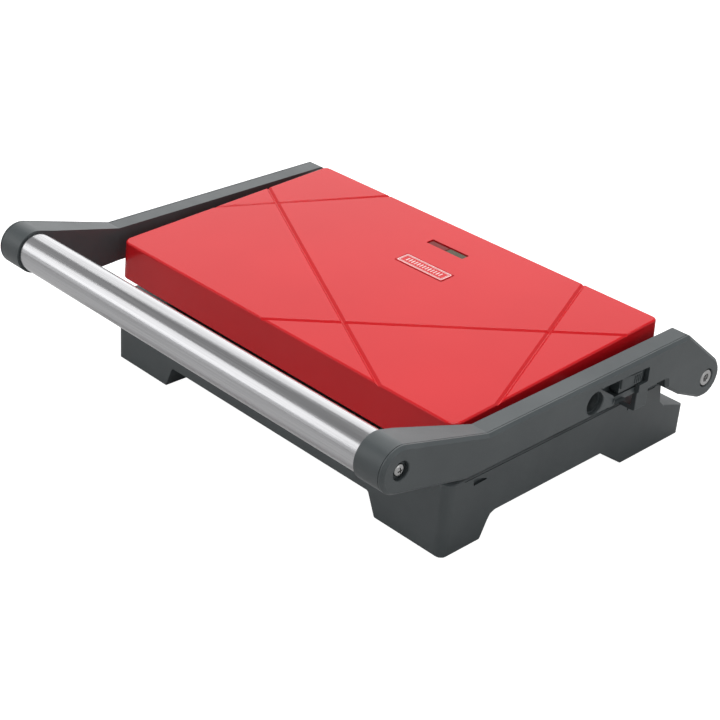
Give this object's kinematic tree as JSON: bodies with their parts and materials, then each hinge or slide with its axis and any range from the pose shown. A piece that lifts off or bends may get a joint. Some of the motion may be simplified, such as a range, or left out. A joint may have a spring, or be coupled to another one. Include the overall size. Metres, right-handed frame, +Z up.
{
  "type": "panini press",
  "caption": "Contact grill with ribbed hot plates, a red lid floating between two hinged side arms, and a steel tube handle.",
  "frame": {"origin": "on the resting plane, under the middle of the press's overall box", "axes": "+Z up, +X to the right as seen from the handle, -Y towards the handle and +Y towards the hinge"},
  "size_m": [0.3, 0.2666, 0.0963],
  "materials": {
    "black_plastic": "satin moulded",
    "red_plastic": "gloss",
    "brushed_steel": "brushed along its length",
    "bright_steel": "plated",
    "cast_aluminium": "dark non-stick coating",
    "steel_sheet": "plain sheet",
    "rubber": "matt",
    "nylon": "plain",
    "red_lens": "clear gloss",
    "green_lens": "clear gloss",
    "glass": "clear",
    "badge_print": "gloss"
  },
  "bodies": {
    "base": {"base_shell": "black_plastic", "base_bottom_cover": "steel_sheet", "foot_pad_front_left": "rubber", "foot_pad_front_right": "rubber", "foot_pad_rear_left": "rubber", "foot_pad_rear_right": "rubber", "bottom_screw_1": "bright_steel", "bottom_screw_2": "bright_steel", "bottom_screw_3": "bright_steel", "bottom_screw_4": "bright_steel", "lower_grill_plate": "cast_aluminium", "lower_heating_element": "bright_steel", "lower_heat_reflector": "steel_sheet", "lower_thermostat": "nylon", "terminal_block": "nylon", "cord_gland": "rubber", "lock_catch": "black_plastic", "hinge_rod": "bright_steel", "hinge_screw_left": "bright_steel", "hinge_screw_right": "bright_steel"},
    "arms": {"arm_left": "black_plastic", "arm_right": "black_plastic", "arm_cover_left": "black_plastic", "arm_cover_right": "black_plastic", "handle_tube": "brushed_steel", "handle_plug_left": "nylon", "handle_plug_right": "nylon", "handle_screw_left": "bright_steel", "handle_screw_right": "bright_steel", "hinge_bush_left": "nylon", "hinge_bush_right": "nylon"},
    "lid": {"lid_cover": "red_plastic", "lid_frame": "black_plastic", "upper_grill_plate": "cast_aluminium", "upper_heating_element": "bright_steel", "upper_heat_reflector": "steel_sheet", "upper_thermostat": "nylon", "pivot_boss_left": "black_plastic", "pivot_boss_right": "black_plastic", "pivot_screw_left": "bright_steel", "pivot_screw_right": "bright_steel", "power_lens": "red_lens", "ready_lens": "green_lens", "lamp_holder": "black_plastic", "power_lamp": "glass", "ready_lamp": "glass", "badge_plate": "badge_print", "lid_screw_1": "bright_steel", "lid_screw_2": "bright_steel", "lid_screw_3": "bright_steel", "lid_screw_4": "bright_steel"},
    "lock": {"lock_slider": "black_plastic"}
  },
  "joints": [
    {"name": "arms_hinge", "type": "hinge", "parent": "base", "child": "arms", "pos_m": [0, 0.121, 0.0484], "axis": [-1, 0, 0], "range_deg": [0, 180]},
    {"name": "lid_tilt", "type": "hinge", "parent": "arms", "child": "lid", "pos_m": [0, 0.0194, 0.0683], "axis": [1, 0, 0], "range_deg": [-2.5, 2.5]},
    {"name": "lock_slide", "type": "slide", "parent": "arms", "child": "lock", "axis": [0, -1, 0], "range_m": [0, 0.0065]}
  ]
}
